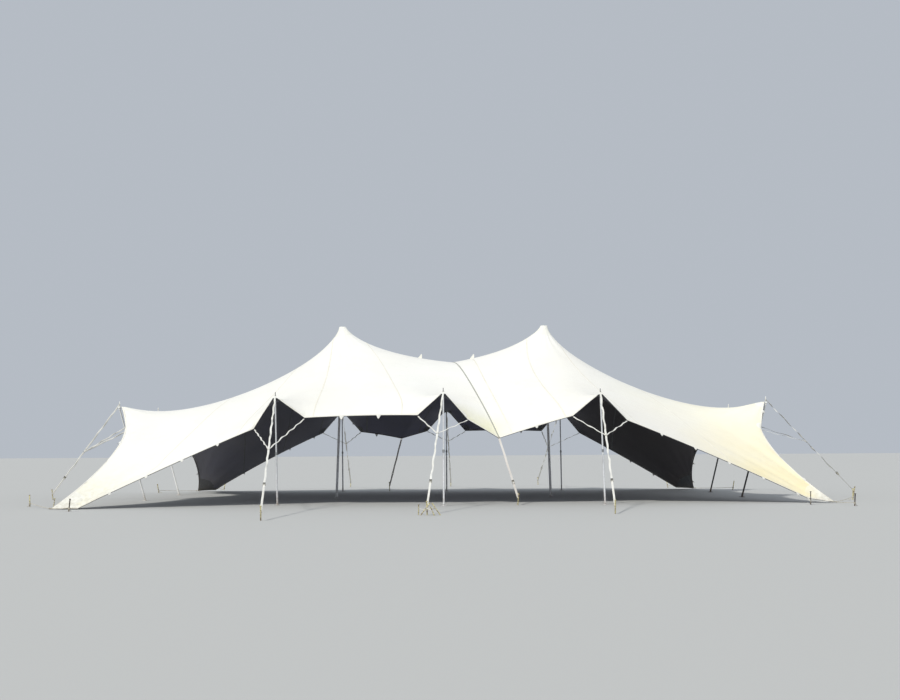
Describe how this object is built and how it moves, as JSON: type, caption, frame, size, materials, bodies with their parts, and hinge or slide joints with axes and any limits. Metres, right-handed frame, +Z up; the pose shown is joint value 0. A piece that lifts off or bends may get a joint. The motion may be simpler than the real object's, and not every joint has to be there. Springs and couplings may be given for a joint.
{
  "type": "stretch tent",
  "caption": "Stretch tent: one elastic canopy with two peaks, hung over metal poles, pinned to the ground at its corners and held out by guy straps and stakes.",
  "frame": {"origin": "On the ground, at the middle of the outer box in X and Y", "axes": "+X along the tent to the right as seen from its front, -Y out of its front, +Z up"},
  "size_m": [24.8458, 21.891, 5.48],
  "materials": {
    "cloth": "coated elastic knit, off-white outside and grey inside, matt, lightly soiled",
    "pole": "plain tube, dull, with scuffs and dust at the foot",
    "strap": "woven webbing and cord, off-white, matt",
    "stake": "hammered steel bar, dull, with rust on the head and mud"
  },
  "bodies": {
    "root": {"canopy_panel_1": "cloth", "canopy_panel_2": "cloth", "canopy_panel_3": "cloth", "canopy_panel_4": "cloth", "canopy_panel_5": "cloth", "canopy_panel_6": "cloth", "canopy_panel_7": "cloth", "canopy_panel_8": "cloth", "canopy_panel_9": "cloth", "left_centre_pole": "pole", "right_centre_pole": "pole", "front_left_pole": "pole", "front_left_stake": "stake", "front_left_guy": "strap", "front_middle_pole": "pole", "front_middle_stake": "stake", "front_middle_guy": "strap", "front_right_pole": "pole", "front_right_stake": "stake", "front_right_guy": "strap", "rear_left_pole": "pole", "rear_left_stake": "stake", "rear_left_guy": "strap", "rear_middle_pole": "pole", "rear_middle_stake": "stake", "rear_middle_guy": "strap", "rear_right_pole": "pole", "rear_right_stake": "stake", "rear_right_guy": "strap", "left_front_pole": "pole", "left_front_stake": "stake", "left_front_guy": "strap", "left_rear_pole": "pole", "left_rear_stake": "stake", "left_rear_guy": "strap", "right_front_pole": "pole", "right_front_stake": "stake", "right_front_guy": "strap", "right_rear_pole": "pole", "right_rear_stake": "stake", "right_rear_guy": "strap", "front_left_corner_stake_1": "stake", "front_left_corner_stake_2": "stake", "front_left_corner_tie": "strap", "front_right_corner_stake_1": "stake", "front_right_corner_stake_2": "stake", "front_right_corner_tie": "strap", "rear_left_corner_stake_1": "stake", "rear_left_corner_stake_2": "stake", "rear_left_corner_tie": "strap", "rear_right_corner_stake_1": "stake", "rear_right_corner_stake_2": "stake", "rear_right_corner_tie": "strap", "front_saddle_stake": "stake", "rear_saddle_stake": "stake", "saddle_strap": "strap"}
  },
  "joints": []
}
